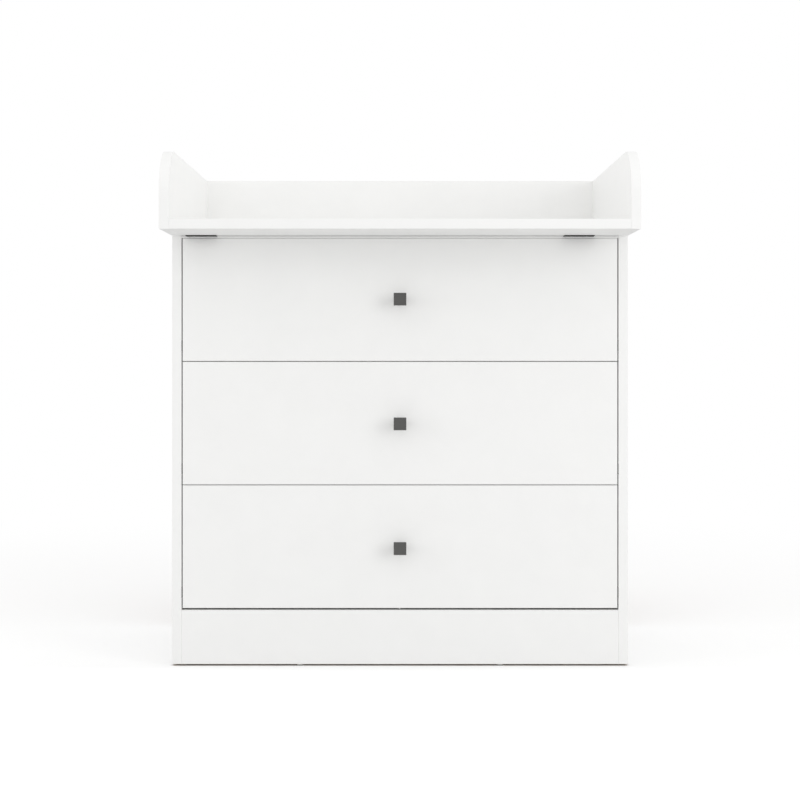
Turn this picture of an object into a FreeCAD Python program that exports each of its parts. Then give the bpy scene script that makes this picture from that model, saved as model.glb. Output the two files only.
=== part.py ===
import FreeCAD, Part
import math
import os

# A changing dresser: a carcass with three inset drawers on roller runners, and on top of
# it a changing tray that overhangs the front. All sizes are in millimetres.
# Origin: on the floor, under the middle of the outer box. +Z is up, +X is to the right as
# seen from the front, and the front looks along -Y.

Vector = FreeCAD.Vector

# Boards
width = 912.0  # outer width of the carcass and of the tray
carcass_depth = 500.0
side_height = 857.0  # of the carcass's side panels, which reach from the glides to the tray
board = 19.0  # sides, top, rails, drawer fronts and tray
edge_round = 1.0  # on the edges that show
plinth_height = 108.5
plinth_board = 16.0
rail_depth = 70.0  # front to back, of the two rails that lie between the drawers
rear_rail_height = 60.0
rear_rail_lift = 59.0  # of its lower edge above the side panels' lower ends
hardboard = 3.0  # the carcass's back and the drawers' bottoms
back_inset = 10.0  # from the side panels' rear edges to the hardboard back
back_groove_depth = 7.0
back_slit = 2.5  # between the two halves of the back
back_slit_x = -1.0
back_top_drop = 3.0  # of the back's upper edge under the tray
groove_play = 0.2  # round a sheet of hardboard in its groove

# Drawers
drawer_count = 3
front_gap = 1.4  # between one drawer front and the next
kick_gap = 3.7  # between the lowest front and the plinth
top_gap = 5.0  # between the highest front and the tray
side_gap = 2.1  # between a front and each side panel
behind_front = 1.0  # air between a front's back and the edges behind it
lip_gap = 0.5  # between the highest front and the lip of the top panel above it
lip_drop = 0.6  # of the lip under the tray
box_board = 12.0  # the sides and back of a drawer's box
box_height = 180.0
box_rear_space = 31.0  # between a drawer's box and the level of the carcass's rear
bottom_lift = 10.0  # of the drawer's bottom above its sides' lower edges
bottom_groove_depth = 6.0

# Runners: a channel on the side panel, a flanged strip on the drawer, and nylon rollers
runner_space = 12.5  # between a side panel and a drawer's box
runner_lift = 21.0  # of the channel's underside above the front's lower edge
channel_height = 21.0
channel_rear_space = 30.0  # between a channel and the level of the carcass's rear
channel_tab = 19.0  # flat end of the channel's web, ahead of it in the side gap
strip_short = 5.0  # how much shorter a strip is than the box
strip_left = 105.0  # of a strip, still behind the front's place when its drawer is pulled out
steel = 1.0  # sheet thickness of channel and strip
strip_clearance = 0.5  # between the channel and the strip, at its side and at its flange's tip
flange_clearance = 0.4  # between the channel's upper flange and the strip's running flange
ledge_width = 14.0  # of the strip's flange that carries the box
roller_clearance = 0.3  # above, below and beside a roller
roller_width = 7.6
roller_inset = 14.0  # from a runner's end to its roller's axle
roller_chamfer = 0.6
axle_radius = 2.5
axle_play = 0.05  # radial
axle_head_radius = 3.5
axle_head = 0.6
stop_height = 1.5  # of the two bumps that end a drawer's travel
stop_length = 3.0

# Knobs
knob_size = 25.0  # square face
knob_reach = 38.0  # in front of the drawer's front
knob_neck_size = 12.0
knob_neck_length = 29.0
knob_chamfer = 0.5
knob_thread_depth = 12.0

# Tray
tray_overhang = 200.0  # in front of the carcass
tray_height = 155.5
tray_corner_radius = 90.0
plate_width = 60.0  # of the two steel plates that join the tray to the top panel
plate_steel = 2.0
plate_reach = 22.0  # in front of the carcass
plate_tail = 60.0  # behind the carcass's front
plate_inset_left = 11.0  # from the side panel's inner face
plate_inset_right = 50.0
plate_play = 0.3  # beside a plate in its pocket

# Fasteners
drill_play = 0.05  # radial, of a fastener in its hole
end_play = 0.4  # at the bottom of a drilled hole
dowel_radius = 4.0
dowel_chamfer = 1.0
dowel_face_depth = 11.0
dowel_end_depth = 22.0
screw_radius = 1.75
screw_head_radius = 3.5
screw_head_height = 1.9
screw_tip = 3.0
screw_tip_radius = 0.4
recess_width = 0.8
recess_depth = 1.2
recess_share = 0.6  # of a head's radius, how far its cross reaches
box_screw_length = 30.0
runner_screw_length = 10.0
plate_screw_length = 15.0
machine_screw_radius = 2.0
machine_screw_head_radius = 4.0
machine_screw_head = 2.5
nail_radius = 0.8
nail_length = 18.0
nail_head_radius = 2.2
nail_head = 0.8
nail_spacing = 95.0
nail_margin = 16.0  # from an end of the back's half to its first nail
strip_wall = 1.0  # of the plastic strip that joins the halves of the back
strip_flange = 14.0
strip_play = 0.1
glide_height = 3.0
glide_radius = 8.0
glide_chamfer = 0.75
glide_pin_radius = 1.0
glide_pin_length = 12.0
glide_inset = 40.0  # from the ends of a side panel's lower edge
plinth_glide_offset = 200.0  # from the middle of the plinth

# Places of joints and screws
low_share = 0.3  # of a narrow board's width, where a dowel stands
high_share = 0.7  # of a narrow board's width, where a cam fitting stands
top_joint_inset = 45.0  # from the top panel's front and rear edges to its outer cam fittings
top_dowel_offset = 45.0  # from there to the dowels
tray_joint_inset = 30.0
tray_joint_spacing = 125.0
tray_back_dowels = (80.0, 340.0)  # from the middle
tray_back_cam = 210.0  # from the middle
peg_x = 300.0  # from the middle
peg_inset = 90.0  # from the rear
bottom_screw_inset = 100.0
bottom_screw_spacing = 300.0
channel_screw_front = 45.0  # from the channel's front end to its first screw
channel_screw_rear = 30.0  # from its rear end to its last screw
strip_screw_inset = 60.0  # from each end of the strip to its nearest screw
strip_screw_middle = 223.0  # from the strip's rear end to its middle screw

# Levels and faces that the pieces share
side_bottom = glide_height
side_top = side_bottom + side_height
outer = width / 2
inner = outer - board
tray_front = -(carcass_depth + tray_overhang) / 2
rear = -tray_front
front = rear - carcass_depth
front_back = front + board
edges_behind = front_back + behind_front
plinth_top = side_bottom + plinth_height
top_underside = side_top - board
back_rear = rear - back_inset
back_front = back_rear - hardboard
shelf_rear = back_front - groove_play
rear_rail_bottom = side_bottom + rear_rail_lift
tray_floor = side_top + board
tray_top = side_top + tray_height
tray_back_front = rear - board
fronts_height = side_top - top_gap - plinth_top - kick_gap
front_height = (fronts_height - (drawer_count - 1) * front_gap) / drawer_count
box_outer = inner - runner_space
box_inner = box_outer - box_board
box_rear = rear - box_rear_space
channel_length = rear - channel_rear_space - edges_behind
strip_length = box_rear - front_back - strip_short
travel = strip_length - strip_left  # how far a drawer pulls out
channel_screw_places = (channel_screw_front, channel_length / 2, channel_length - channel_screw_rear)
strip_last_screw = strip_length - strip_screw_inset
strip_screw_places = (strip_screw_inset, strip_length - strip_screw_middle, strip_last_screw)
roller_radius = (channel_height - 2 * steel - flange_clearance - steel - 2 * roller_clearance) / 2
cabinet_axle_y = edges_behind + roller_inset
drawer_axle_y = front_back + strip_length - roller_inset
channel_face = inner - steel
channel_lip = box_outer + steel + strip_clearance


class CamSize:
    """A cam fitting: a bolt that stands out of one board, and a lock in the next that grips its
    head. bolt, head, end_hole and lock are radii, and setback is from the joint to the lock."""

    depth = 11.0  # of the bolt's end in the board that it stands in
    head_length = 3.0
    sunk = 0.2  # the lock's face, under the board's face

    def __init__(self, bolt, head, end_hole, lock, lock_height, setback):
        self.bolt = bolt
        self.head = head
        self.end_hole = end_hole
        self.lock = lock
        self.lock_height = lock_height
        self.setback = setback


carcass_cam = CamSize(bolt=3.0, head=3.6, end_hole=4.0, lock=7.5, lock_height=13.5, setback=24.0)
drawer_cam = CamSize(bolt=2.2, head=2.7, end_hole=3.0, lock=6.0, lock_height=10.0, setback=20.0)

pieces = {}
holes = {}


def add(node, *solids):
    """Puts solids into a node."""
    pieces.setdefault(node, []).extend(solids)


def drill(node, *tools):
    """Keeps tools that are cut from a node once every piece is made."""
    holes.setdefault(node, []).extend(tools)


def block(x, y, z):
    """A box over three spans, each given by its two ends."""
    return Part.makeBox(x[1] - x[0], y[1] - y[0], z[1] - z[0], Vector(x[0], y[0], z[0]))


def between(side, a, b):
    """The span between distances a and b from the middle, on the left (-1) or the right (1)."""
    return tuple(sorted((side * a, side * b)))


def rod(radius, start, direction, length):
    return Part.makeCylinder(radius, length, start, direction)


def along(direction):
    """The turn from +Z to a direction."""
    return FreeCAD.Rotation(Vector(0, 0, 1), direction)


def placed(shape, point, turn):
    copy = shape.copy()
    copy.Placement = FreeCAD.Placement(point, turn)
    return copy


def lies_on(edge, axis, value):
    """Whether both ends of an edge have this coordinate."""
    return all(abs(getattr(vertex.Point, axis) - value) < 1e-6 for vertex in edge.Vertexes)


def rounded(shape, edges):
    """The shape with some edges rounded as edge banding is."""
    return shape.makeFillet(edge_round, edges)


def long_edges(shape, axis, value):
    """The edges longer than a board's thickness that lie on the plane where axis has this value."""
    return [edge for edge in shape.Edges if lies_on(edge, axis, value) and edge.Length > board]


def side_name(side):
    return "left" if side < 0 else "right"


def steps(low, high, spacing):
    """Even places from low to high, about spacing apart."""
    count = max(1, round((high - low) / spacing))
    return [low + (high - low) * i / count for i in range(count + 1)]


# Fasteners. Each is made along +Z from the plane where its two pieces meet, then placed.


def cross_recess(head_radius):
    """A tool that cuts a cross into a flat head."""
    reach = head_radius * recess_share
    half = recess_width / 2
    wide = block((-reach, reach), (-half, half), (0, recess_depth))
    tall = block((-half, half), (-reach, reach), (0, recess_depth))
    return wide.fuse(tall)


def wood_screw(length):
    """A countersunk screw with its flat head at the origin."""
    up = Vector(0, 0, 1)
    shank = rod(screw_radius, Vector(), up, length - screw_tip)
    tip_start = Vector(0, 0, length - screw_tip)
    tip = Part.makeCone(screw_radius, screw_tip_radius, screw_tip, tip_start, up)
    head = Part.makeCone(screw_head_radius, screw_radius, screw_head_height, Vector(), up)
    return shank.fuse([tip, head]).cut(cross_recess(screw_head_radius))


def wood_screw_hole(length):
    up = Vector(0, 0, 1)
    shank = rod(screw_radius + drill_play, Vector(), up, length + end_play)
    wide = screw_head_radius + drill_play
    head = Part.makeCone(wide, screw_radius + drill_play, screw_head_height + drill_play, Vector(), up)
    return shank.fuse(head)


def put_screw(group, point, direction, length, *nodes):
    """A countersunk screw, flush at a point, through the nodes that it holds together."""
    turn = along(direction)
    add(group, placed(wood_screw(length), point, turn))
    for node in nodes:
        drill(node, placed(wood_screw_hole(length), point, turn))


def put_dowel(point, direction, face_node, end_node):
    """A wooden dowel across a joint: point is on the joint, and direction points into end_node."""
    turn = along(direction)
    length = dowel_face_depth + dowel_end_depth
    up = Vector(0, 0, 1)
    dowel = rod(dowel_radius, Vector(0, 0, -dowel_face_depth), up, length)
    rims = [edge for edge in dowel.Edges if len(edge.Vertexes) == 1]
    add("wooden_dowels", placed(dowel.makeChamfer(dowel_chamfer, rims), point, turn))
    hole = dowel_radius + drill_play
    start = Vector(0, 0, -dowel_face_depth - end_play)
    drill(face_node, placed(rod(hole, start, up, dowel_face_depth + end_play), point, turn))
    drill(end_node, placed(rod(hole, Vector(), up, dowel_end_depth + end_play), point, turn))


def put_cam(group, size, thickness, point, direction, facing, face_node, end_node):
    """A cam fitting across a joint. point is on the joint, halfway through end_node's thickness,
    direction points into end_node, and the lock's flat face looks along facing."""
    turn = FreeCAD.Rotation(facing, direction.cross(facing), direction, "ZXY")
    up = Vector(0, 0, 1)
    out = Vector(1, 0, 0)
    start = Vector(0, 0, -size.depth)
    bolt = rod(size.bolt, start, up, size.depth + size.setback)
    head = rod(size.head, Vector(0, 0, size.setback - size.head_length), up, size.head_length)
    add(group, placed(bolt.fuse(head), point, turn))

    face = thickness / 2 - size.sunk
    lock = rod(size.lock, Vector(face - size.lock_height, 0, size.setback), out, size.lock_height)
    reach = size.lock + size.head_length / 2
    mouth = rod(size.end_hole, Vector(0, 0, size.setback - size.lock - 1), up, reach + 1)
    quarter = FreeCAD.Rotation(Vector(0, 0, 1), Vector(-1, 0, 0))
    slot = placed(cross_recess(size.lock), Vector(face, 0, size.setback), quarter)
    add(group, placed(lock.cut([mouth, slot]), point, turn))

    hole_depth = size.depth + end_play
    bolt_hole = rod(size.bolt + drill_play, Vector(0, 0, -hole_depth), up, hole_depth)
    drill(face_node, placed(bolt_hole, point, turn))
    end_hole = rod(size.end_hole, Vector(), up, size.setback)
    bottom = Vector(face - size.lock_height - end_play, 0, size.setback)
    lock_hole = rod(size.lock + drill_play, bottom, out, size.lock_height + end_play + 1)
    drill(end_node, placed(end_hole.fuse(lock_hole), point, turn))


def put_nail(point, *nodes):
    """A nail with its head on the back's rear face, driven forwards."""
    forwards = Vector(0, -1, 0)
    shank = rod(nail_radius, point, forwards, nail_length)
    head = rod(nail_head_radius, point, Vector(0, 1, 0), nail_head)
    add("back_panel_nails", shank.fuse(head))
    for node in nodes:
        drill(node, rod(nail_radius + drill_play, point, forwards, nail_length + end_play))


def put_glide(x, y, node):
    """A round floor glide, pinned into the lower edge of a board."""
    up = Vector(0, 0, 1)
    disc = rod(glide_radius, Vector(x, y, 0), up, glide_height)
    disc = disc.makeChamfer(glide_chamfer, [edge for edge in disc.Edges if lies_on(edge, "z", 0)])
    pin = rod(glide_pin_radius, Vector(x, y, glide_height / 2), up, glide_height / 2 + glide_pin_length)
    add("floor_glides", disc.fuse(pin))
    hole = glide_pin_radius + drill_play
    drill(node, rod(hole, Vector(x, y, glide_height), up, glide_pin_length + end_play))


# Carcass


def side_panels():
    for side in (-1, 1):
        node = f"side_panel_{side_name(side)}"
        panel = block(between(side, inner, outer), (front, rear), (side_bottom, side_top))
        front_edges = [edge for edge in panel.Edges if lies_on(edge, "y", front)]
        add(node, rounded(panel, [edge for edge in front_edges if not lies_on(edge, "z", side_top)]))
        groove_y = (back_front - groove_play, back_rear + groove_play)
        groove_x = between(side, inner - 1, inner + back_groove_depth)
        drill(node, block(groove_x, groove_y, (side_bottom - 1, side_top + 1)))
        for y in (front + glide_inset, rear - glide_inset):
            put_glide(side * (inner + outer) / 2, y, node)


def join_to_sides(node, spots, facing, cam_spots, sides="side_panel", thickness=board):
    """Dowels and cam fittings at both ends of a board that stands between two sides.
    Each spot is the (y, z) of a fitting, halfway through the board."""
    for side in (-1, 1):
        side_node = f"{sides}_{side_name(side)}"
        inward = Vector(-side, 0, 0)
        for y, z in spots:
            put_dowel(Vector(side * inner, y, z), inward, side_node, node)
        for y, z in cam_spots:
            point = Vector(side * inner, y, z)
            put_cam("cam_fittings", carcass_cam, thickness, point, inward, facing, side_node, node)


def top_panel():
    """The top board, whose front edge is rebated to a lip over the highest drawer front."""
    panel = block((-inner, inner), (front, shelf_rear), (top_underside, side_top))
    lip_bottom = side_top - top_gap + lip_gap
    lip_top = side_top - lip_drop
    below = block((-outer, outer), (front - 1, edges_behind), (top_underside - 1, lip_bottom))
    above = block((-outer, outer), (front - 1, edges_behind), (lip_top, side_top + 1))
    panel = panel.cut([below, above])
    add("top_panel", rounded(panel, long_edges(panel, "y", front)))
    z = side_top - board / 2
    first = edges_behind + top_joint_inset
    last = shelf_rear - top_joint_inset
    dowels = [(first + top_dowel_offset, z), (last - top_dowel_offset, z)]
    cams = [(y, z) for y in (first, (first + last) / 2, last)]
    join_to_sides("top_panel", dowels, Vector(0, 0, -1), cams)


def divider_rails():
    for number, name in enumerate(("upper", "lower"), start=1):
        gap_middle = front_bottom(number) - front_gap / 2
        node = f"divider_rail_{name}"
        spans_z = (gap_middle - board / 2, gap_middle + board / 2)
        add(node, block((-inner, inner), (edges_behind, edges_behind + rail_depth), spans_z))
        dowel = (edges_behind + low_share * rail_depth, gap_middle)
        cam = (edges_behind + high_share * rail_depth, gap_middle)
        join_to_sides(node, [dowel], Vector(0, 0, -1), [cam])


def plinth():
    plinth_back = front + plinth_board
    board_shape = block((-inner, inner), (front, plinth_back), (side_bottom, plinth_top))
    add("plinth", rounded(board_shape, long_edges(board_shape, "y", front)))
    y = (front + plinth_back) / 2
    dowel = (y, side_bottom + low_share * plinth_height)
    cam = (y, side_bottom + high_share * plinth_height)
    join_to_sides("plinth", [dowel], Vector(0, 1, 0), [cam], thickness=plinth_board)
    for side in (-1, 1):
        put_glide(side * plinth_glide_offset, y, "plinth")


def rear_rail():
    spans_z = (rear_rail_bottom, rear_rail_bottom + rear_rail_height)
    add("rear_rail", block((-inner, inner), (shelf_rear - board, shelf_rear), spans_z))
    y = shelf_rear - board / 2
    dowel = (y, rear_rail_bottom + low_share * rear_rail_height)
    cam = (y, rear_rail_bottom + high_share * rear_rail_height)
    join_to_sides("rear_rail", [dowel], Vector(0, -1, 0), [cam])


def back_panels():
    edge = inner + back_groove_depth - groove_play
    for side in (-1, 1):
        node = f"back_panel_{side_name(side)}"
        spans_x = between(side, back_slit / 2 + side * back_slit_x, edge)
        spans_z = (side_bottom, side_top - back_top_drop)
        add(node, block(spans_x, (back_front, back_rear), spans_z))
        for x in steps(back_slit / 2 + nail_margin, inner - nail_margin, nail_spacing):
            put_nail(Vector(side * x, back_rear, side_top - board / 2), node, "top_panel")
            rail_middle = rear_rail_bottom + rear_rail_height / 2
            put_nail(Vector(side * x, back_rear, rail_middle), node, "rear_rail")


def back_joining_strip():
    """An H-shaped strip between the halves of the back, from the rear rail to the top panel."""
    spans_z = (rear_rail_bottom + rear_rail_height + strip_wall, top_underside - strip_wall)
    flange = (back_slit_x - strip_flange / 2, back_slit_x + strip_flange / 2)
    half_web = back_slit / 2 - strip_play
    web = (back_slit_x - half_web, back_slit_x + half_web)
    ahead = back_front - strip_play
    behind = back_rear + strip_play
    parts = [
        block(flange, (ahead - strip_wall, ahead), spans_z),
        block(flange, (behind, behind + strip_wall), spans_z),
        block(web, (ahead, behind), spans_z),
    ]
    add("back_joining_strip", parts[0].fuse(parts[1:]).removeSplitter())


# Changing tray


def tray_sides():
    for side in (-1, 1):
        x = side * inner
        low_front = Vector(x, tray_front, side_top)
        arc_start = Vector(x, tray_front, tray_top - tray_corner_radius)
        slant = tray_corner_radius * (1 - math.sqrt(0.5))
        arc_middle = Vector(x, tray_front + slant, tray_top - slant)
        arc_end = Vector(x, tray_front + tray_corner_radius, tray_top)
        high_rear = Vector(x, rear, tray_top)
        low_rear = Vector(x, rear, side_top)
        outline = Part.Wire([
            Part.makeLine(low_front, arc_start),
            Part.Arc(arc_start, arc_middle, arc_end).toShape(),
            Part.makeLine(arc_end, high_rear),
            Part.makeLine(high_rear, low_rear),
            Part.makeLine(low_rear, low_front),
        ])
        solid = Part.Face(outline).extrude(Vector(side * board, 0, 0))
        faces_x = (side * inner, side * outer)
        edges = [edge for edge in solid.Edges if any(lies_on(edge, "x", x) for x in faces_x)]
        add(f"tray_side_{side_name(side)}", rounded(solid, edges))


def tray_base():
    base = block((-inner, inner), (tray_front, tray_back_front), (side_top, tray_floor))
    add("tray_base", rounded(base, long_edges(base, "y", tray_front)))
    z = side_top + board / 2
    places = steps(tray_front + tray_joint_inset, tray_back_front - tray_joint_inset, tray_joint_spacing)
    dowels = [(y, z) for y in places]
    halfway = [(a + b) / 2 for a, b in zip(places, places[1:])]
    cams = [(y, z) for y in halfway if y > edges_behind + top_joint_inset]
    down = Vector(0, 0, -1)
    join_to_sides("tray_base", dowels, down, cams, sides="tray_side")
    forwards = Vector(0, -1, 0)
    for side in (-1, 1):
        for x in tray_back_dowels:
            put_dowel(Vector(side * x, tray_back_front, z), forwards, "tray_back", "tray_base")
        point = Vector(side * tray_back_cam, tray_back_front, z)
        put_cam("cam_fittings", carcass_cam, board, point, forwards, down, "tray_back", "tray_base")
        put_peg(Vector(side * peg_x, rear - peg_inset, side_top))


def put_peg(point):
    """A short dowel that stops the tray from sliding on the top panel."""
    up = Vector(0, 0, 1)
    peg = rod(dowel_radius, point - up * dowel_face_depth, up, 2 * dowel_face_depth)
    rims = [edge for edge in peg.Edges if len(edge.Vertexes) == 1]
    add("wooden_dowels", peg.makeChamfer(dowel_chamfer, rims))
    reach = dowel_face_depth + end_play
    hole = rod(dowel_radius + drill_play, point - up * reach, up, 2 * reach)
    drill("top_panel", hole)
    drill("tray_base", hole)


def tray_back():
    back = block((-inner, inner), (tray_back_front, rear), (side_top, tray_top))
    add("tray_back", rounded(back, long_edges(back, "z", tray_top)))
    y = rear - board / 2
    dowel = (y, side_top + low_share * tray_height)
    cam = (y, side_top + high_share * tray_height)
    join_to_sides("tray_back", [dowel], Vector(0, 1, 0), [cam], sides="tray_side")


def tray_plates():
    """Flat steel plates in pockets of the top panel, which reach forward under the tray's overhang."""
    for side, inset in ((-1, plate_inset_left), (1, plate_inset_right)):
        node = f"tray_plate_{side_name(side)}"
        screws = "tray_plate_screws"
        middle = inner - inset - plate_width / 2
        spans_x = between(side, middle - plate_width / 2, middle + plate_width / 2)
        spans_z = (side_top - plate_steel, side_top)
        add(node, block(spans_x, (front - plate_reach, front + plate_tail), spans_z))
        pocket_x = (spans_x[0] - plate_play, spans_x[1] + plate_play)
        pocket_y = (front - 1, front + plate_tail + plate_play)
        drill("top_panel", block(pocket_x, pocket_y, (spans_z[0], side_top + 1)))
        for x in (middle - plate_width / 4, middle + plate_width / 4):
            below = Vector(side * x, front - plate_reach / 2, side_top - plate_steel)
            put_screw(screws, below, Vector(0, 0, 1), plate_screw_length, node, "tray_base")
            above = Vector(side * x, front + plate_tail - plate_reach / 2, side_top)
            put_screw(screws, above, Vector(0, 0, -1), plate_screw_length, node, "top_panel")


# Drawers. Drawer 1 is the highest.


def front_bottom(number):
    """The level of a drawer front's lower edge."""
    return plinth_top + kick_gap + (drawer_count - number) * (front_height + front_gap)


def channel_bottom(number):
    return front_bottom(number) + runner_lift


def axle_height(number):
    return channel_bottom(number) + steel + roller_clearance + roller_radius


def box_bottom(number):
    """The level of the lower edges of a drawer's box, which stands on its runners' ledges."""
    return channel_bottom(number) + 2 * steel


def drawer_front(number):
    node = f"drawer_{number}_front"
    low = front_bottom(number)
    spans_x = (side_gap - inner, inner - side_gap)
    panel = block(spans_x, (front, front_back), (low, low + front_height))
    add(node, rounded(panel, [edge for edge in panel.Edges if lies_on(edge, "y", front)]))
    groove = box_inner + bottom_groove_depth
    spans_y = (front_back - bottom_groove_depth, front_back + 1)
    drill(node, block((-groove, groove), spans_y, bottom_groove(number)))


def bottom_groove(number):
    low = box_bottom(number) + bottom_lift
    return (low - groove_play, low + hardboard + groove_play)


def drawer_box(number):
    low = box_bottom(number)
    high = low + box_height
    back_node = f"drawer_{number}_back"
    bottom_node = f"drawer_{number}_bottom"
    cams = f"drawer_{number}_cam_fittings"
    screws = f"drawer_{number}_screws"
    for side in (-1, 1):
        node = f"drawer_{number}_side_{side_name(side)}"
        add(node, block(between(side, box_inner, box_outer), (front_back, box_rear), (low, high)))
        groove_x = between(side, box_inner - 1, box_inner + bottom_groove_depth)
        drill(node, block(groove_x, (front_back - 1, box_rear + 1), bottom_groove(number)))
        middle = side * (box_inner + box_outer) / 2
        inward = Vector(-side, 0, 0)
        for share in (low_share, high_share):
            joint = Vector(middle, front_back, low + share * box_height)
            front_node = f"drawer_{number}_front"
            put_cam(cams, drawer_cam, box_board, joint, Vector(0, 1, 0), inward, front_node, node)
            head = Vector(side * box_outer, box_rear - box_board / 2, low + share * box_height)
            put_screw(screws, head, inward, box_screw_length, node, back_node)

    bottom_low = low + bottom_lift
    bottom_high = bottom_low + hardboard
    edge = box_inner + bottom_groove_depth - groove_play
    spans_y = (front_back - bottom_groove_depth + groove_play, box_rear)
    add(bottom_node, block((-edge, edge), spans_y, (bottom_low, bottom_high)))
    add(back_node, block((-box_inner, box_inner), (box_rear - box_board, box_rear), (bottom_high, high)))
    last = box_inner - bottom_screw_inset
    for x in steps(-last, last, bottom_screw_spacing):
        head = Vector(x, box_rear - box_board / 2, bottom_low)
        put_screw(screws, head, Vector(0, 0, 1), box_screw_length, bottom_node, back_node)


def drawer_knob(number):
    node = f"drawer_{number}_knob"
    z = front_bottom(number) + front_height / 2
    half = knob_size / 2
    neck_half = knob_neck_size / 2
    neck_front = front - knob_neck_length
    head = block((-half, half), (front - knob_reach, neck_front), (z - half, z + half))
    head = head.makeChamfer(knob_chamfer, head.Edges)
    neck = block((-neck_half, neck_half), (neck_front, front), (z - neck_half, z + neck_half))
    add(node, head.fuse(neck).removeSplitter())
    forwards = Vector(0, -1, 0)
    thread = rod(machine_screw_radius + drill_play, Vector(0, front, z), forwards, knob_thread_depth)
    drill(node, thread)

    inside = Vector(0, front_back, z)
    screw_length = board + knob_thread_depth - 2 * end_play
    shank = rod(machine_screw_radius, inside, forwards, screw_length)
    head = rod(machine_screw_head_radius, inside, Vector(0, 1, 0), machine_screw_head)
    top = inside + Vector(0, machine_screw_head, 0)
    recess = placed(cross_recess(machine_screw_head_radius), top, along(forwards))
    add(f"drawer_{number}_knob_screw", shank.fuse(head).cut(recess))
    drill(f"drawer_{number}_front", rod(machine_screw_radius + 4 * drill_play, inside, forwards, board + 1))


# Runners


def axle(start, direction, length):
    """A riveted axle with a flat head at its free end."""
    pin = rod(axle_radius, start, direction, length)
    head_start = start + direction * (length - axle_head)
    return pin.fuse(rod(axle_head_radius, head_start, direction, axle_head))


def roller(side, start, y, z):
    """A nylon roller whose outer end is this far from the middle of the dresser."""
    spans_x = between(side, start, start - roller_width)
    middle = Vector(spans_x[0], y, z)
    tyre = rod(roller_radius, middle, Vector(1, 0, 0), roller_width)
    tyre = tyre.makeChamfer(roller_chamfer, [edge for edge in tyre.Edges if len(edge.Vertexes) == 1])
    return tyre.cut(rod(axle_radius + axle_play, middle, Vector(1, 0, 0), roller_width))


def channel_stops(number, side):
    """The bumps on the channel's floor that the drawer's roller meets pulled out and closed."""
    rise = stop_height - roller_clearance
    reach = math.sqrt(roller_radius**2 - (roller_radius - rise) ** 2) + roller_clearance
    pulled_out = drawer_axle_y - travel - reach
    closed = drawer_axle_y + reach
    floor = channel_bottom(number) + steel
    spans_x = between(side, channel_lip, channel_face)
    spans_z = (floor - steel / 2, floor + stop_height)
    return [
        block(spans_x, (pulled_out - stop_length, pulled_out), spans_z),
        block(spans_x, (closed, closed + stop_length), spans_z),
    ]


def cabinet_runner(number, side):
    """A C-shaped channel on a side panel, with its front roller's axle and the drawer's stops."""
    low = channel_bottom(number)
    high = low + channel_height
    spans_y = (edges_behind, edges_behind + channel_length)
    web = block(between(side, channel_face, inner), (edges_behind - channel_tab, spans_y[1]), (low, high))
    floor = block(between(side, channel_lip, inner), spans_y, (low, low + steel))
    roof = block(between(side, channel_lip, inner), spans_y, (high - steel, high))
    z = axle_height(number)
    pin_length = channel_face - channel_lip - strip_clearance
    pin = axle(Vector(side * channel_face, cabinet_axle_y, z), Vector(-side, 0, 0), pin_length)
    solid = web.fuse([floor, roof, pin] + channel_stops(number, side)).removeSplitter()
    node = f"cabinet_runners_{side_name(side)}"
    add(node, solid)
    for place in channel_screw_places:
        point = Vector(side * channel_face, edges_behind + place, low + channel_height / 2)
        outward = Vector(side, 0, 0)
        panel_node = f"side_panel_{side_name(side)}"
        put_screw("cabinet_runner_screws", point, outward, runner_screw_length, node, panel_node)


def drawer_strip(number, side):
    """The strip on a drawer's side: a ledge under the box, an upright, and the flange that runs
    on the cabinet's roller."""
    low = channel_bottom(number) + steel
    flange_top = channel_bottom(number) + channel_height - steel - flange_clearance
    spans_y = (front_back + strip_clearance, front_back + strip_length)
    upright = block(between(side, box_outer, box_outer + steel), spans_y, (low, flange_top))
    ledge = block(between(side, box_outer - ledge_width, box_outer + steel), spans_y, (low, low + steel))
    flange_tip = channel_face - strip_clearance
    flange = block(between(side, box_outer, flange_tip), spans_y, (flange_top - steel, flange_top))
    z = axle_height(number)
    start = box_outer + steel
    pin_length = channel_face - roller_clearance - start
    pin = axle(Vector(side * start, drawer_axle_y, z), Vector(side, 0, 0), pin_length)
    return upright.fuse([ledge, flange, pin]).removeSplitter()


def drawer_runners(number):
    node = f"drawer_{number}_runners"
    z = axle_height(number)
    screw_z = box_bottom(number) + bottom_lift / 2
    for side in (-1, 1):
        cabinet_runner(number, side)
        add(node, drawer_strip(number, side))
        for place in strip_screw_places:
            point = Vector(side * (box_outer + steel), front_back + place, screw_z)
            side_node = f"drawer_{number}_side_{side_name(side)}"
            screws = f"drawer_{number}_screws"
            put_screw(screws, point, Vector(-side, 0, 0), runner_screw_length, node, side_node)
        outer_end = channel_face - roller_clearance - axle_head - roller_clearance
        add(f"drawer_{number}_rollers", roller(side, outer_end, drawer_axle_y, z))
        add(f"cabinet_rollers_{number}", roller(side, channel_face - roller_clearance, cabinet_axle_y, z))


def save_all():
    os.makedirs("parts", exist_ok=True)
    for node, solids in pieces.items():
        if node in holes:
            solids = [solid.cut(holes[node]) for solid in solids]
        found = [solid for shape in solids for solid in shape.Solids]
        shape = found[0] if len(found) == 1 else Part.makeCompound(found)
        shape.exportStep(f"parts/{node}.step")


side_panels()
top_panel()
divider_rails()
plinth()
rear_rail()
back_panels()
back_joining_strip()
tray_sides()
tray_base()
tray_back()
tray_plates()
for drawer_number in range(1, drawer_count + 1):
    drawer_front(drawer_number)
    drawer_box(drawer_number)
    drawer_knob(drawer_number)
    drawer_runners(drawer_number)
save_all()
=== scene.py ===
import math

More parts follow.
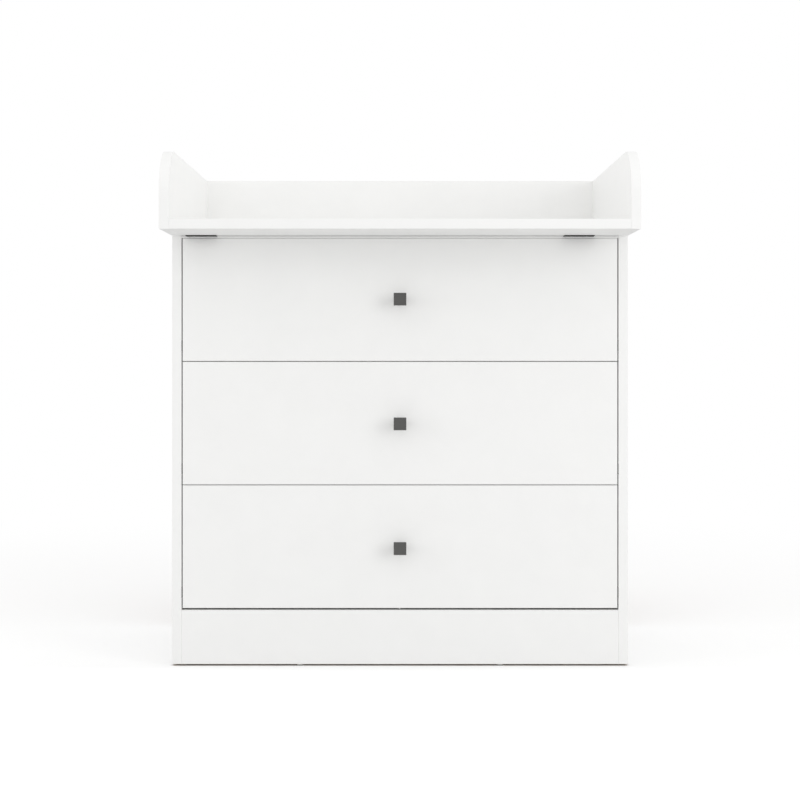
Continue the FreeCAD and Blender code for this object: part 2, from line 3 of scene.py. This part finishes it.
import bpy
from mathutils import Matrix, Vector


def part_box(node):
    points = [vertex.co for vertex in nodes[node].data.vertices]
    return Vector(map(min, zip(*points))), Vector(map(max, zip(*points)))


# The looks of the changing dresser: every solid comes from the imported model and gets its
# material here. Metres, +Z up, the front looks along -Y.

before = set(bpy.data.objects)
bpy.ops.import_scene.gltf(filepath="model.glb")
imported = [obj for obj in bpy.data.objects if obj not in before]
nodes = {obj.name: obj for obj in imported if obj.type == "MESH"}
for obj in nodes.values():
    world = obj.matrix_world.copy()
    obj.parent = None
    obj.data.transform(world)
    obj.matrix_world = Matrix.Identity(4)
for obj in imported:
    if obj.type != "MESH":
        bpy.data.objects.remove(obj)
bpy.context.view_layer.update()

SIDES = ("left", "right")
DRAWERS = (1, 2, 3)


def direction(axis, sign):
    """A unit vector along x, y or z."""
    found = Vector((0, 0, 0))
    found["xyz".index(axis)] = sign
    return found


# Materials


class Paint:
    """A material's node tree, where one call adds one node and returns its output."""

    def __init__(self, name):
        self.material = bpy.data.materials.new(name)
        self.material.use_nodes = True
        self.tree = self.material.node_tree
        self.tree.nodes.clear()
        coordinates = self.tree.nodes.new("ShaderNodeTexCoord")
        self.place = coordinates.outputs["Object"]
        self.normal = coordinates.outputs["Normal"]

    def add(self, kind, inputs, output=0, **settings):
        node = self.tree.nodes.new(kind)
        for name, value in settings.items():
            setattr(node, name, value)
        for socket, value in inputs.items():
            if isinstance(value, bpy.types.NodeSocket):
                self.tree.links.new(value, node.inputs[socket])
            else:
                node.inputs[socket].default_value = value
        return node.outputs[output] if len(node.outputs) else None

    def math(self, operation, *values):
        return self.add("ShaderNodeMath", dict(enumerate(values)), operation=operation)

    def vector(self, operation, *values, output=0):
        inputs = dict(enumerate(values))
        return self.add("ShaderNodeVectorMath", inputs, output, operation=operation)

    def stretched(self, factors):
        return self.vector("MULTIPLY", self.place, factors)

    def noise(self, scale, detail=2.0, roughness=0.5, place=None):
        inputs = {"Vector": place or self.place, "Scale": scale}
        inputs.update({"Detail": detail, "Roughness": roughness})
        return self.add("ShaderNodeTexNoise", inputs, "Fac")

    def cells(self, scale, place):
        inputs = {"Vector": place, "Scale": scale}
        return self.add("ShaderNodeTexVoronoi", inputs, "Color")

    def between(self, value, low, high, start=0.0, end=1.0, smooth=False):
        """The value, moved from the range start to end into the range low to high."""
        inputs = {"Value": value, "From Min": start, "From Max": end}
        inputs.update({"To Min": low, "To Max": high})
        kind = "SMOOTHSTEP" if smooth else "LINEAR"
        return self.add("ShaderNodeMapRange", inputs, "Result", interpolation_type=kind)

    def ramp(self, value, *stops):
        """A colour ramp, from (place, colour) pairs."""
        output = self.add("ShaderNodeValToRGB", {"Fac": value}, "Color")
        elements = output.node.color_ramp.elements
        while len(elements) < len(stops):
            elements.new(0.5)
        for element, (place, colour) in zip(elements, stops):
            element.position = place
            element.color = (*colour, 1)
        return output

    def mix(self, share, first, second):
        inputs = {0: share, 6: first, 7: second}
        for key in (6, 7):
            if isinstance(inputs[key], tuple):
                inputs[key] = (*inputs[key], 1)
        return self.add("ShaderNodeMix", inputs, 2, data_type="RGBA")

    def bump(self, height, depth, below=None):
        """A bump that is depth metres high where height is 1."""
        inputs = {"Height": height, "Distance": depth, "Strength": 1.0}
        if below is not None:
            inputs["Normal"] = below
        return self.add("ShaderNodeBump", inputs, "Normal")

    def finish(self, **inputs):
        """The shader, whose inputs are named as its sockets with _ for a blank."""
        named = {name.replace("_", " "): value for name, value in inputs.items()}
        shader = self.add("ShaderNodeBsdfPrincipled", named, "BSDF")
        self.add("ShaderNodeOutputMaterial", {"Surface": shader})
        return self.material


def dress(material, *names):
    for name in names:
        slots = nodes[name].data.materials
        slots.clear()
        slots.append(material)


MIDDLE = (0.35, 0.65)  # most values of a noise lie in here
WIDE = (0.3, 0.7)  # and nearly all in here


def shaded(colour, share):
    return tuple(channel * share for channel in colour)


def soft_variation(paint, colour, amount, scale):
    """The colour, a little darker in places."""
    share = paint.between(paint.noise(scale, detail=3.0), 0.0, amount, *MIDDLE)
    return paint.mix(share, colour, shaded(colour, 0.9))


WHITE = (0.94, 0.94, 0.93)
BOX_WHITE = (0.83, 0.83, 0.82)
BAND = 0.001  # thickness of the edge banding
SEAM = 0.00012  # half the width of its joint line
SEAM_STRENGTH = 0.35  # how clearly the joint line shows
SEAM_TONE = 0.55  # of the board's colour
FACING = 0.7  # a face looks in a direction from this cosine on
WHITE_FACING = 0.5  # the same for the white side of hardboard
RAW_ROUGHNESS = 0.85  # of chipboard and hardboard without foil or lacquer
LACQUER_ROUGHNESS = 0.45


def chipboard(paint):
    """The colour of a raw chipboard edge."""
    chips = paint.cells(420, paint.stretched((0.55, 0.35, 1.0)))
    tone = paint.add("ShaderNodeSeparateColor", {"Color": chips}, 0)
    colour = paint.ramp(
        tone,
        (0.0, (0.22, 0.13, 0.07)),
        (0.35, (0.42, 0.28, 0.16)),
        (0.75, (0.56, 0.41, 0.26)),
        (1.0, (0.66, 0.52, 0.36)),
    )
    dust = paint.between(paint.noise(1500, detail=4.0), 0.0, 0.5, start=0.4, end=0.7)
    return paint.mix(dust, colour, (0.3, 0.2, 0.12))


def edge_distance(paint, planes, corner=None):
    """How far a point is inside the nearest banded edge. planes are (axis, value, side), where
    side is 1 if the board lies above the value. corner is (y, z, radius) of a rounded corner
    that is the board's lowest y and highest z."""
    split = paint.add("ShaderNodeSeparateXYZ", {"Vector": paint.place})
    parts = dict(zip("xyz", split.node.outputs))
    nearest = None
    for axis, value, side in planes:
        inside = paint.math("MULTIPLY_ADD", parts[axis], side, -side * value)
        nearest = inside if nearest is None else paint.math("MINIMUM", nearest, inside)
    if corner:
        y, z, radius = corner
        ahead = paint.math("MAXIMUM", paint.math("SUBTRACT", y, parts["y"]), 0.0)
        above = paint.math("MAXIMUM", paint.math("SUBTRACT", parts["z"], z), 0.0)
        squares = paint.math("MULTIPLY_ADD", ahead, ahead, paint.math("MULTIPLY", above, above))
        away = paint.math("SQRT", squares)
        nearest = paint.math("MINIMUM", nearest, paint.math("SUBTRACT", radius, away))
    return nearest


def board(name, node, colour, banded=(), raw=(), corner=None):
    """A foil-covered chipboard. banded are the outline's edges with banding, as (axis, side)
    with side -1 for the low end, and raw the directions of its raw edges."""
    paint = Paint(name)
    low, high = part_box(node)
    base = soft_variation(paint, colour, amount=0.12, scale=14)
    pores = paint.noise(1600, detail=3.0, roughness=0.6)
    waves = paint.bump(paint.noise(160), depth=0.00006)
    normal = paint.bump(pores, depth=0.00002, below=waves)
    rough = paint.between(paint.noise(45, detail=4.0), 0.38, 0.5, *WIDE)
    if banded:
        planes = []
        for axis, side in banded:
            ends = high if side > 0 else low
            planes.append((axis, ends["xyz".index(axis)], -side))
        inside = edge_distance(paint, planes, corner)
        seam = paint.math("COMPARE", inside, BAND, SEAM)
        share = paint.math("MULTIPLY", seam, SEAM_STRENGTH)
        base = paint.mix(share, base, shaded(colour, SEAM_TONE))
    for axis, side in raw:
        facing = paint.vector("DOT_PRODUCT", paint.normal, direction(axis, side), output="Value")
        there = paint.math("GREATER_THAN", facing, FACING)
        base = paint.mix(there, base, chipboard(paint))
        rough = paint.math("MAXIMUM", rough, paint.math("MULTIPLY", there, RAW_ROUGHNESS))
    dress(paint.finish(Base_Color=base, Roughness=rough, Normal=normal), node)


def hardboard(name, node, white_side):
    """A thin fibre board, lacquered white on the side that shows inside the furniture."""
    paint = Paint(name)
    facing = paint.vector("DOT_PRODUCT", paint.normal, white_side, output="Value")
    white = paint.math("GREATER_THAN", facing, WHITE_FACING)
    fibres = paint.noise(260, 6.0, 0.7, paint.stretched((1.0, 1.0, 0.35)))
    specks = paint.noise(900, detail=3.0, roughness=0.6)
    specks = paint.between(specks, 0.0, 0.4, start=0.5, end=0.75)
    brown = paint.ramp(
        fibres,
        (0.3, (0.16, 0.09, 0.045)),
        (0.5, (0.27, 0.165, 0.09)),
        (0.7, (0.38, 0.25, 0.15)),
    )
    brown = paint.mix(specks, brown, (0.1, 0.055, 0.03))
    lacquer = soft_variation(paint, BOX_WHITE, amount=0.2, scale=20)
    normal = paint.bump(paint.mix(white, fibres, paint.noise(350)), depth=0.00008)
    smoother = LACQUER_ROUGHNESS - RAW_ROUGHNESS
    rough = paint.math("MULTIPLY_ADD", white, smoother, RAW_ROUGHNESS)
    base = paint.mix(white, brown, lacquer)
    dress(paint.finish(Base_Color=base, Roughness=rough, Normal=normal), node)


def powder_coat(name, colour, rough):
    """Matt painted metal with the fine grain of a powder coat."""
    paint = Paint(name)
    grain = paint.noise(2600, roughness=0.6)
    share = paint.between(grain, 0.0, 1.0, *MIDDLE)
    base = paint.mix(share, shaded(colour, 0.86), colour)
    spread = paint.between(paint.noise(220, detail=3.0), rough - 0.05, rough + 0.06, *WIDE)
    normal = paint.bump(grain, depth=0.00003)
    return paint.finish(Base_Color=base, Roughness=spread, Normal=normal)


def zinc_plated():
    """Bright zinc on turned fasteners."""
    paint = Paint("zinc_plated")
    dull = paint.noise(900, detail=4.0, roughness=0.65)
    base = paint.ramp(dull, (0.3, (0.46, 0.46, 0.44)), (0.7, (0.66, 0.66, 0.63)))
    rough = paint.between(dull, 0.45, 0.26, *WIDE)
    normal = paint.bump(dull, depth=0.00001)
    return paint.finish(Base_Color=base, Metallic=1.0, Roughness=rough, Normal=normal)


def plastic(name, colour, rough):
    """Moulded or extruded plastic with a fine skin."""
    paint = Paint(name)
    skin = paint.noise(1100, detail=3.0, roughness=0.6)
    base = soft_variation(paint, colour, amount=0.5, scale=180)
    spread = paint.between(skin, rough - 0.06, rough + 0.08, *WIDE)
    normal = paint.bump(skin, depth=0.00002)
    return paint.finish(Base_Color=base, Roughness=spread, Normal=normal)


def beech():
    """Raw turned beech, with its short dark flecks."""
    paint = Paint("raw_beech")
    grain = paint.noise(300, 5.0, 0.6, paint.stretched((0.12, 1.0, 1.0)))
    flecks = paint.noise(1800, place=paint.stretched((0.2, 1.0, 1.0)))
    flecks = paint.between(flecks, 0.0, 0.5, start=0.62, end=0.72)
    wood = paint.ramp(grain, (0.3, (0.5, 0.31, 0.17)), (0.7, (0.66, 0.45, 0.27)))
    base = paint.mix(flecks, wood, (0.33, 0.18, 0.09))
    normal = paint.bump(grain, depth=0.00005)
    return paint.finish(Base_Color=base, Roughness=0.7, Normal=normal)


# Every node of the model and its material

FRONT_EDGE = (("y", -1),)
UPPER_EDGE = (("z", 1),)
REAR_END = ("y", 1)
LOWER_END = ("z", -1)
FRONT_OUTLINE = (("x", -1), ("x", 1), ("z", -1), ("z", 1))
SIDE_OUTLINE = (("y", -1), ("y", 1), ("z", -1), ("z", 1))
CORNER_RADIUS = 0.09  # of the tray's sides
tray_low, tray_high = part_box("tray_side_left")
corner = (tray_low.y + CORNER_RADIUS, tray_high.z - CORNER_RADIUS, CORNER_RADIUS)
for side in SIDES:
    name = f"side_panel_{side}"
    board(f"{name}_foil", name, WHITE, FRONT_EDGE, (REAR_END, LOWER_END))
    board(f"tray_side_{side}_foil", f"tray_side_{side}", WHITE, SIDE_OUTLINE, corner=corner)
board("top_panel_foil", "top_panel", WHITE, FRONT_EDGE)
for name in ("divider_rail_upper", "divider_rail_lower"):
    board(f"{name}_foil", name, WHITE, FRONT_EDGE, (REAR_END,))
for name in ("plinth", "rear_rail"):
    board(f"{name}_foil", name, WHITE, UPPER_EDGE, (LOWER_END,))
board("tray_base_foil", "tray_base", WHITE, FRONT_EDGE)
board("tray_back_foil", "tray_back", WHITE, UPPER_EDGE)
runner_coat = powder_coat("black_epoxy_coat", (0.03, 0.03, 0.03), 0.45)
zinc = zinc_plated()
knob_coat = powder_coat("anthracite_powder_coat", (0.091, 0.091, 0.087), 0.5)
nylon = plastic("natural_nylon", (0.74, 0.73, 0.68), 0.42)
for number in DRAWERS:
    prefix = f"drawer_{number}"
    board(f"{prefix}_front_foil", f"{prefix}_front", WHITE, FRONT_OUTLINE)
    for side in SIDES:
        name = f"{prefix}_side_{side}"
        board(f"{name}_foil", name, BOX_WHITE, UPPER_EDGE, (REAR_END, LOWER_END))
    board(f"{prefix}_back_foil", f"{prefix}_back", BOX_WHITE, UPPER_EDGE)
    hardboard(f"{prefix}_bottom_hardboard", f"{prefix}_bottom", (0, 0, 1))
    dress(knob_coat, f"{prefix}_knob")
    dress(runner_coat, f"{prefix}_runners")
    dress(zinc, f"{prefix}_knob_screw", f"{prefix}_cam_fittings", f"{prefix}_screws")
    dress(nylon, f"{prefix}_rollers", f"cabinet_rollers_{number}")
plate_coat = powder_coat("black_paint", (0.012, 0.012, 0.012), 0.5)
for side in SIDES:
    hardboard(f"back_panel_{side}_hardboard", f"back_panel_{side}", (0, -1, 0))
    dress(plate_coat, f"tray_plate_{side}")
    dress(runner_coat, f"cabinet_runners_{side}")
dress(zinc, "cam_fittings", "back_panel_nails", "cabinet_runner_screws", "tray_plate_screws")
dress(plastic("grey_glide_plastic", (0.34, 0.34, 0.33), 0.5), "floor_glides")
dress(plastic("white_strip_plastic", (0.82, 0.82, 0.81), 0.4), "back_joining_strip")
dress(beech(), "wooden_dowels")

# Stage: a pale floor, a soft sky and two soft lamps

FLOOR_SIZE = 30.0
FLOOR_WHITE = 0.72  # share of the light that the floor throws back
SEEN_FLOOR = 1.02  # how pale the floor looks to the camera, so that it ends in white
SEEN_FRONT_FLOOR_PAINTED_LIGHT = 1.12  # the same in front of the dresser, paler still: painted light that takes away the dresser's shade on the floor there
SKY = 0.95  # strength of its light on the dresser
SEEN_SKY = 1.0  # the same where the camera sees it: pure white
FRONT_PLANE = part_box("plinth")[0].y
BLEND = 0.1  # how far in front of the dresser the floor takes its front tone, the painted light that hides the dresser's shade
FADE_START = 1.6  # as far from the middle the seen floor begins to turn into pure white
FADE_END = 3.2  # and is pure white from here on
LIT_POINT = (0, FRONT_PLANE, 0.5)  # the lamps look at it


def floor():
    half = FLOOR_SIZE / 2
    mesh = bpy.data.meshes.new("floor")
    corners = [(-half, -half, 0), (half, -half, 0), (half, half, 0), (-half, half, 0)]
    mesh.from_pydata(corners, [], [(0, 1, 2, 3)])
    piece = bpy.data.objects.new("floor", mesh)
    bpy.context.scene.collection.objects.link(piece)
    paint = Paint("studio_floor")
    rays = paint.add("ShaderNodeLightPath", {}, "Is Camera Ray")
    across = paint.add("ShaderNodeSeparateXYZ", {"Vector": paint.place}, "Y")
    # In front of the dresser the floor seen by the camera is painted paler: painted light where
    # the dresser's shade would fall.
    ends = (FRONT_PLANE - BLEND, FRONT_PLANE)
    seen = paint.between(across, SEEN_FRONT_FLOOR_PAINTED_LIGHT, SEEN_FLOOR, *ends, smooth=True)
    shade = paint.between(rays, FLOOR_WHITE, seen)
    lit = paint.add("ShaderNodeBsdfDiffuse", {"Color": shade})
    far = paint.vector("LENGTH", paint.place, output="Value")
    white = paint.add("ShaderNodeEmission", {"Color": (1, 1, 1, 1), "Strength": 1.0})
    fade = paint.between(far, 0.0, 1.0, FADE_START, FADE_END, smooth=True)
    share = paint.math("MULTIPLY", rays, fade)
    both = paint.add("ShaderNodeMixShader", {0: share, 1: lit, 2: white})
    paint.add("ShaderNodeOutputMaterial", {"Surface": both})
    mesh.materials.append(paint.material)


def sky():
    world = bpy.data.worlds.new("studio")
    world.use_nodes = True
    tree = world.node_tree
    tree.nodes.clear()
    rays = tree.nodes.new("ShaderNodeLightPath")
    seen = tree.nodes.new("ShaderNodeMath")
    seen.operation = "MAXIMUM"
    tree.links.new(rays.outputs["Is Camera Ray"], seen.inputs[0])
    tree.links.new(rays.outputs["Is Transmission Ray"], seen.inputs[1])
    strength = tree.nodes.new("ShaderNodeMapRange")
    tree.links.new(seen.outputs[0], strength.inputs["Value"])
    strength.inputs["To Min"].default_value = SKY
    strength.inputs["To Max"].default_value = SEEN_SKY
    background = tree.nodes.new("ShaderNodeBackground")
    background.inputs["Color"].default_value = (1, 1, 1, 1)
    tree.links.new(strength.outputs["Result"], background.inputs["Strength"])
    output = tree.nodes.new("ShaderNodeOutputWorld")
    tree.links.new(background.outputs[0], output.inputs["Surface"])
    bpy.context.scene.world = world


def lamp(name, place, size, power):
    data = bpy.data.lights.new(name, "AREA")
    data.shape = "SQUARE"
    data.size = size
    data.energy = power
    piece = bpy.data.objects.new(name, data)
    piece.location = place
    toward = Vector(LIT_POINT) - Vector(place)
    piece.rotation_euler = toward.to_track_quat("-Z", "Y").to_euler()
    bpy.context.scene.collection.objects.link(piece)


floor()
sky()
lamp("key", (3.0, -3.2, 1.3), size=2.0, power=27.0)
lamp("fill", (-3.4, -1.6, 0.9), size=1.6, power=12.0)

# Camera: level, straight at the front

CAMERA_DISTANCE = 3.6  # in front of the carcass's front plane
EYE_HEIGHT = 0.625
LENS = 81.0
SHIFT = -0.05844  # brings the horizon above the middle of the picture

camera = bpy.data.cameras.new("camera")
camera.lens = LENS
camera.shift_y = SHIFT
viewer = bpy.data.objects.new("camera", camera)
viewer.location = (0, FRONT_PLANE - CAMERA_DISTANCE, EYE_HEIGHT)
viewer.rotation_euler = (math.pi / 2, 0, 0)
bpy.context.scene.collection.objects.link(viewer)
bpy.context.scene.camera = viewer
bpy.context.scene.view_settings.view_transform = "Standard"
